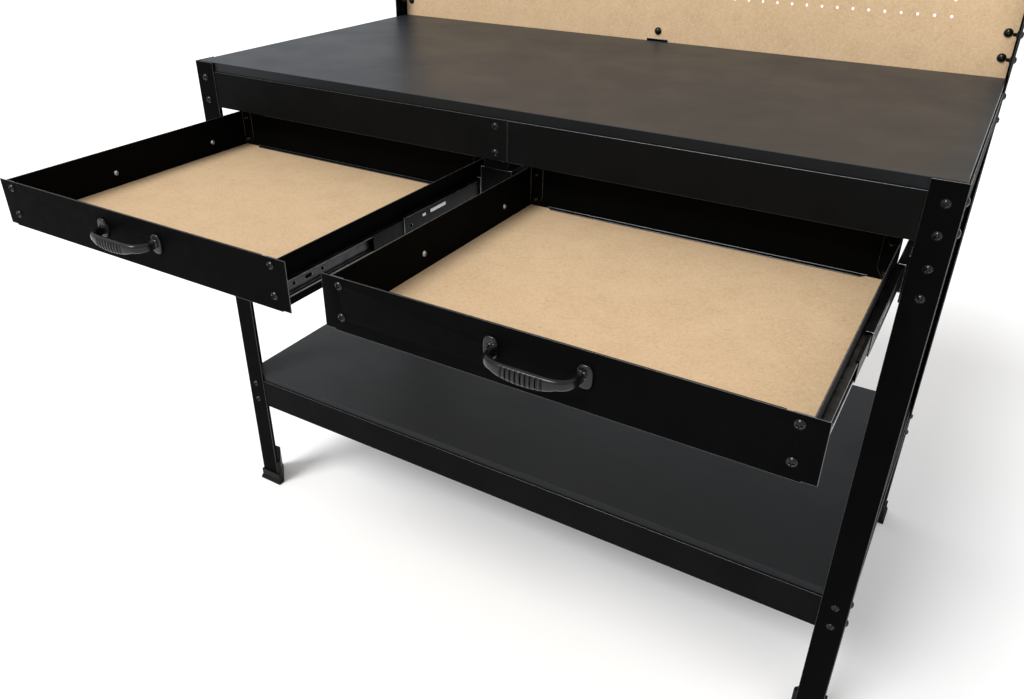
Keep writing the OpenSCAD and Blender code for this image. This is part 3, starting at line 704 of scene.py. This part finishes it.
def bow_section(centre):
    """Height and depth of the bow's section, and how far its middle is above the handle's."""
    grip = max(0.0, 1 - (centre.x / GRIP_HALF) ** 2)
    swell = grip ** GRIP_SWELL
    root = max(0.0, 1 + centre.y / ROOT_LENGTH)
    flare = root ** ROOT_FLARE
    height = BOW_HEIGHT + GRIP_TALLER * swell + ROOT_TALLER * flare
    depth = BOW_DEPTH + GRIP_DEEPER * grip + ROOT_DEEPER * flare
    rise = -GRIP_LOWER * swell - BOW_LOWER + ROOT_HIGHER * root
    return height, depth, rise


def groove(x, z, height):
    """Depth of the grooves on the grip's outer side; they fade out towards its upper and lower edge."""
    if abs(x) >= GROOVES / 2 * GROOVE_PITCH:
        return 0.0
    across = unit((math.cos(2 * math.pi * x / GROOVE_PITCH) - GROOVE_LIP) / GROOVE_RISE)
    within = unit((height / 2 - GROOVE_MARGIN - abs(z)) / GROOVE_FADE)
    return GROOVE_DEPTH * across * within


def bow_ring(t):
    """Ring of points round the bow."""
    centre = bow_point(t)
    out = bow_outward(t, centre)
    height, depth, rise = bow_section(centre)
    ring = []
    for angle in turn(BOW_RING):
        n, z = rounded(angle, BOW_SQUARE, depth / 2, height / 2)
        if math.cos(angle) > OUTER_SIDE:
            n -= groove(centre.x, z, height)
        ring.append(((centre.x + out.x * n) * MM, (centre.y + out.y * n) * MM, (z + rise) * MM))
    return ring


def handle_bow(parts):
    """The bow with its grooved grip, closed at both ends inside the ears."""
    verts, faces = skin([bow_ring(s / BOW_STATIONS) for s in range(BOW_STATIONS + 1)])
    faces.append(list(range(BOW_RING)))
    faces.append(list(range(BOW_STATIONS * BOW_RING, len(verts))))
    parts.add(verts, faces)


def handle_ear(parts, side):
    """Domed plate round the screw at one end; side is -1 or 1."""
    rings = []
    for share, y in EAR_ROWS:
        ring = []
        for angle in turn(EAR_RING):
            x, z = rounded(angle, EAR_SQUARE, EAR_HALF_WIDTH, EAR_HALF_HEIGHT)
            ring.append(((side * EAR_HALF_APART + x * share) * MM, y * MM, (z * share - EAR_DROP) * MM))
        rings.append(ring)
    verts, faces = skin(rings)
    faces.append(list(range(EAR_RING)))
    parts.add(verts, faces)


def handle_mesh():
    """Cast bow handle about its own middle, its shapes run into one: X along it, -Y out, Z up; metres."""
    parts = Parts()
    handle_bow(parts)
    handle_ear(parts, -1)
    handle_ear(parts, 1)
    raw = linked("handle_raw", parts.mesh("handle_raw"))
    remesh = raw.modifiers.new("join", "REMESH")
    remesh.mode = "VOXEL"
    remesh.voxel_size = VOXEL
    smooth = raw.modifiers.new("soften", "SMOOTH")
    smooth.factor = 0.5
    smooth.iterations = 3
    depsgraph = bpy.context.evaluated_depsgraph_get()
    mesh = bpy.data.meshes.new_from_object(raw.evaluated_get(depsgraph))
    bpy.data.objects.remove(raw)
    return mesh


def handles():
    """A handle on each drawer, about the middle of the CAD handle and against the front."""
    shape = handle_mesh()
    for side in SIDES:
        low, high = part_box(f"{side}_drawer_handle")
        obj = piece(f"handle_{side}", shape.copy(), FINISH["handle"], f"{side}_drawer", sharp=60)
        obj.location = ((low[0] + high[0]) / 2, high[1], (low[2] + high[2]) / 2)
        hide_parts(f"{side}_drawer_handle")


# ---------------------------------------------------------------- CAD nodes: bevels and materials

BEAMS = ("apron", "shelf_beam")
FRAME_STEEL = ("leg_", "side_beam", "upright", "slide_rail", "pegboard_top_rail", "pegboard_clip",
               "centre_divider")
DRAWER_STEEL = ("drawer_front", "drawer_side_l", "drawer_side_r", "drawer_back")
EDGE_SLOT = 1                  # the material slot that a bevel's new faces take
FLAT_ANGLE = 0.5               # degrees; faces that meet at less are one
BEVEL_ANGLE = 35               # degrees; edges that turn by less stay as they are


def round_edges(obj, width, segments, edge):
    """Makes the flat faces whole, then rounds the edges between them."""
    whole = obj.modifiers.new("flat", "DECIMATE")
    whole.decimate_type = "DISSOLVE"
    whole.angle_limit = math.radians(FLAT_ANGLE)
    bevel = obj.modifiers.new("edge", "BEVEL")
    bevel.width = width
    bevel.segments = segments
    bevel.limit_method = "ANGLE"
    bevel.angle_limit = math.radians(BEVEL_ANGLE)
    bevel.use_clamp_overlap = False
    bevel.harden_normals = True
    if edge:
        bevel.material = EDGE_SLOT


def dress(node, finish, width=0.55 * MM, segments=2, edge=None):
    """Gives a CAD node its finish, and its rounded edges theirs; a width of 0 leaves them sharp."""
    obj = NODES[node]
    weld = obj.modifiers.new("weld", "WELD")
    weld.merge_threshold = 2 * ONE_POINT
    if width:
        round_edges(obj, width, segments, edge)
    obj.data.materials.clear()
    obj.data.materials.append(FINISH[finish])
    obj.data.materials.append(FINISH[edge or finish])


def dress_cad_nodes():
    for node in NODES:
        if node.startswith(BEAMS):
            dress(node, "beam", edge="edge")
        elif node.startswith(FRAME_STEEL) or node.endswith(DRAWER_STEEL):
            dress(node, "steel", edge="edge")
        elif node.startswith("foot_"):
            dress(node, "plastic", width=0.8 * MM)
        elif node.endswith("drawer_floor"):
            dress(node, "fibre_z", width=0.3 * MM, segments=1)
        # Slide members take the brighter rail steel on their rounded edges: a painted highlight.
        elif "_slide_inner" in node:
            dress(node, "slide", width=0.3 * MM, edge="rail")
        # The outer and middle members take the darker slide steel: painted shade.
        elif "_slide_outer" in node or "_slide_middle" in node:
            dress(node, "slide_dark", width=0.3 * MM, edge="rail")
    dress("worktop", "board", width=0.8 * MM, segments=3)
    dress("shelf_board", "shelf", width=0.8 * MM, segments=3)
    dress("pegboard", "fibre_y", width=0)


# ---------------------------------------------------------------- slides

LIP = 0.9 * MM                 # radius of a member's rolled lip
LIP_END = 0.4 * MM             # from the lip's end to the member's
LIP_FACE = 0.7                 # of the lip's radius: its flat end, and the length of the slope round it
LIP_SHOULDER = 0.4
LIP_SEGMENTS = 16
MEMBER_WALL = 1.2 * MM
CAGE_LENGTH = 50 * MM
CAGE_AHEAD = 62 * MM           # the inner cage stands this far out of the middle member
CAGE_SETBACK = 2 * MM          # the outer cage starts this far inside the outer member
CAGE_REACH = 3.6 * MM          # of its folded edges
CAGE_STRIP = 0.2               # half of its thickness, as a share of its gap
CAGE_FOLD = 0.3 * MM           # half of a folded edge's thickness
BALL_PITCH = 9 * MM
BALL_PLAY = 0.2 * MM
BALL_STEPS = 8
BALL_SEGMENTS = 12
STRIP_CUT = 0.25               # of a strip's thickness, off its long edges
CATCH_FROM_END = 58 * MM
CATCH_LENGTH = 36 * MM
CATCH_BOTTOM = 4 * MM          # heights above the member's middle
CATCH_TOP = 9 * MM
RIVET_TOP = 8 * MM
RIVET_BACK = 18 * MM           # its two ends, from the strip's near end
RIVET_FRONT = 11 * MM
CATCH_PROUD = 0.6 * MM
CATCH_SUNK = 0.2 * MM


def along_y(x, y, z):
    """Matrix that lays local +Z along +Y from a point."""
    return Matrix.Translation((x, y, z)) @ Matrix.Rotation(-math.pi / 2, 4, "X")


def bead(parts, x, z, y0, y1):
    """Rolled edge of a slide member, its ends rounded off."""
    length = y1 - y0
    shoulder = LIP * LIP_SHOULDER
    face = LIP * LIP_FACE
    profile = [(0, 0), (face, 0), (LIP, shoulder), (LIP, length - shoulder), (face, length), (0, length)]
    parts.lathe(profile, along_y(x, y0, z), LIP_SEGMENTS)


def ball(parts, x, y, z, radius):
    angles = [math.pi * k / BALL_STEPS for k in range(1, BALL_STEPS)]
    profile = [(radius * math.sin(angle), -radius * math.cos(angle)) for angle in angles]
    profile = [(0, -radius)] + profile + [(0, radius)]
    parts.lathe(profile, Matrix.Translation((x, y, z)), BALL_SEGMENTS)


def block(parts, low, high):
    """Stamped strip: a box with its long edges cut at 45 degrees."""
    cut = min(high[i] - low[i] for i in range(3)) * STRIP_CUT
    x0, x1, z0, z1 = low[0], high[0], low[2], high[2]
    outline = [(x0 + cut, z0), (x1 - cut, z0), (x1, z0 + cut), (x1, z1 - cut),
               (x1 - cut, z1), (x0 + cut, z1), (x0, z1 - cut), (x0, z0 + cut)]
    count = len(outline)
    verts, faces = skin([[(x, y, z) for x, z in outline] for y in (low[1], high[1])])
    faces += [list(range(count)), list(range(count, 2 * count))]
    parts.add(verts, faces)


def outward(side):
    """Direction along X from the drawer to the frame, at its left or right slide."""
    return 1 if side == "r" else -1


def face_x(box, way):
    """X of a box's right face where way is 1, and of its left face where it is -1."""
    low, high = box
    return high[0] if way > 0 else low[0]


def slide_rails(drawer, side):
    """Rolled lips at the open side of the three members of one slide."""
    out = outward(side)
    members = (
        ("outer", "frame", -out),
        ("middle", f"{drawer}_middle", -out),
        ("inner", f"{drawer}_drawer", out),
    )
    for member, body, opening in members:
        low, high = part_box(f"{drawer}_slide_{member}_{side}")
        x = face_x((low, high), opening) - opening * LIP
        parts = Parts()
        for z in (low[2] + LIP, high[2] - LIP):
            bead(parts, x, z, low[1] + LIP_END, high[1] - LIP_END)
        name = f"rail_{drawer}_{member}_{side}"
        piece(name, parts.mesh(name), FINISH["rail"], body)


def slide_catch(drawer, side):
    """Bright spring strip and a rivet on the frame side of a middle member."""
    out = outward(side)
    low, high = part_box(f"{drawer}_slide_middle_{side}")
    web = face_x((low, high), out)
    middle = (low[2] + high[2]) / 2
    x0, x1 = sorted((web - CATCH_SUNK * out, web + CATCH_PROUD * out))
    y = low[1] + CATCH_FROM_END
    parts = Parts()
    bottom = middle + CATCH_BOTTOM
    block(parts, (x0, y, bottom), (x1, y + CATCH_LENGTH, middle + CATCH_TOP))
    block(parts, (x0, y - RIVET_BACK, bottom), (x1, y - RIVET_FRONT, middle + RIVET_TOP))
    name = f"catch_{drawer}_{side}"
    piece(name, parts.mesh(name), FINISH["zinc"], f"{drawer}_middle")


def ball_cage(host, guest, out, start, length):
    """Strip with two rows of balls in the gap between two members; host and guest are their boxes."""
    low, high = host
    web = face_x(host, out)
    gap = abs(web - face_x(guest, out)) - MEMBER_WALL
    x = web - out * (MEMBER_WALL + gap / 2)
    y = low[1] + start
    row = (high[2] - MEMBER_WALL + guest[1][2]) / 2
    radius = (high[2] - MEMBER_WALL - guest[1][2]) / 2 - BALL_PLAY
    middle = (low[2] + high[2]) / 2
    half = CAGE_STRIP * gap
    count = round(length / BALL_PITCH)
    parts = Parts()
    block(parts, (x - half, y, middle - (row - middle)), (x + half, y + length, row))
    for z in (row, 2 * middle - row):
        x0, x1 = sorted((x, x - out * CAGE_REACH))
        block(parts, (x0, y, z - CAGE_FOLD), (x1, y + length, z + CAGE_FOLD))
        for k in range(count):
            ball(parts, x - out * (CAGE_REACH - radius), y + length * (k + 0.5) / count, z, radius)
    return parts


def slide_cages(drawer, side):
    """The ball cages in the two gaps of one slide: one stays with the frame, one moves with the drawer."""
    out = outward(side)
    outer, middle, inner = (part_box(f"{drawer}_slide_{m}_{side}") for m in ("outer", "middle", "inner"))
    inner_length = CAGE_AHEAD + CAGE_LENGTH / 2
    cages = (
        ("outer", "frame", ball_cage(outer, middle, out, CAGE_SETBACK, CAGE_LENGTH)),
        ("middle", f"{drawer}_drawer", ball_cage(middle, inner, out, -CAGE_AHEAD, inner_length)),
    )
    for member, body, parts in cages:
        name = f"cage_{drawer}_{member}_{side}"
        piece(name, parts.mesh(name), FINISH["slide_dark"], body)


def slides():
    for drawer in SIDES:
        for side in "lr":
            slide_rails(drawer, side)
            slide_catch(drawer, side)
            slide_cages(drawer, side)


# ---------------------------------------------------------------- floor, light, camera

FLOOR_HALF = 30
FLOOR_DARK = (0.93, 0.93, 0.93)
FLOOR_LIGHT = (0.95, 0.95, 0.95)
FLOOR_GLOW = 0.08
WHITE = (1, 1, 1)
STUDIO_STRENGTH = 0.72
SUN_FROM = (-0.26, -0.6, 0.76)
CAMERA_YAW = 30.856            # degrees
CAMERA_PITCH = 29.201
CAMERA_ROLL = 0.3198
CAMERA_X = 0.61717
CAMERA_BEFORE_LEG = 0.99971
CAMERA_OVER_WORKTOP = 0.29989


def floor():
    """Plain pale floor, a little bright of its own like an overexposed studio paper."""
    r = FLOOR_HALF
    mesh = bpy.data.meshes.new("floor")
    mesh.from_pydata([(-r, -r, 0), (r, -r, 0), (r, r, 0), (-r, r, 0)], [], [[0, 1, 2, 3]])
    obj = linked("floor", mesh)
    m = Material("floor", rough=0.7, spec=0.0)
    m.colour(m.ramp(m.noise(0.5, detail=2), FLOOR_DARK, FLOOR_LIGHT))
    m.put(WHITE, m.shader.inputs["Emission Color"])
    m.put(FLOOR_GLOW, m.shader.inputs["Emission Strength"])
    mesh.materials.append(m.data)


def studio():
    """Even white light from all round."""
    world = bpy.data.worlds.new("studio")
    world.use_nodes = True
    background = world.node_tree.nodes["Background"]
    background.inputs["Color"].default_value = (*WHITE, 1)
    background.inputs["Strength"].default_value = STUDIO_STRENGTH
    bpy.context.scene.world = world


def soft_sun(source, strength, spread):
    """Light from the direction of source; spread is the angle that it fills, in degrees."""
    light = bpy.data.lights.new("key", "SUN")
    light.energy = strength
    light.angle = math.radians(spread)
    obj = linked("key", light)
    obj.rotation_euler = (-Vector(source)).to_track_quat("-Z", "Y").to_euler()


def camera_rotation():
    yaw, pitch, roll = (math.radians(a) for a in (CAMERA_YAW, CAMERA_PITCH, CAMERA_ROLL))
    forward = Vector((-math.sin(yaw) * math.cos(pitch), math.cos(yaw) * math.cos(pitch), -math.sin(pitch)))
    level = Vector((math.cos(yaw), math.sin(yaw), 0))
    upright = level.cross(forward)
    x = level * math.cos(roll) + upright * math.sin(roll)
    y = upright * math.cos(roll) - level * math.sin(roll)
    return Matrix((x, y, -forward)).transposed().to_4x4()


def camera():
    """Looks down from the right over the pulled-out drawers; placed from the front leg and the worktop."""
    data = bpy.data.cameras.new("camera")
    data.sensor_fit = "HORIZONTAL"
    data.sensor_width = 36
    data.lens = 29.668
    data.shift_x = 0.0063
    data.shift_y = -0.01676
    data.clip_start = 0.05
    data.clip_end = 60
    leg_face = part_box("leg_front_left")[0][1]
    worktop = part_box("worktop")[1][2]
    place = (CAMERA_X, leg_face - CAMERA_BEFORE_LEG, worktop + CAMERA_OVER_WORKTOP)
    obj = linked("camera", data)
    obj.matrix_world = Matrix.Translation(place) @ camera_rotation()
    bpy.context.scene.camera = obj


dress_cad_nodes()
fasteners()
handles()
slides()
floor()
studio()
soft_sun(SUN_FROM, strength=2.4, spread=25)
camera()
bpy.context.scene.view_settings.view_transform = "Standard"
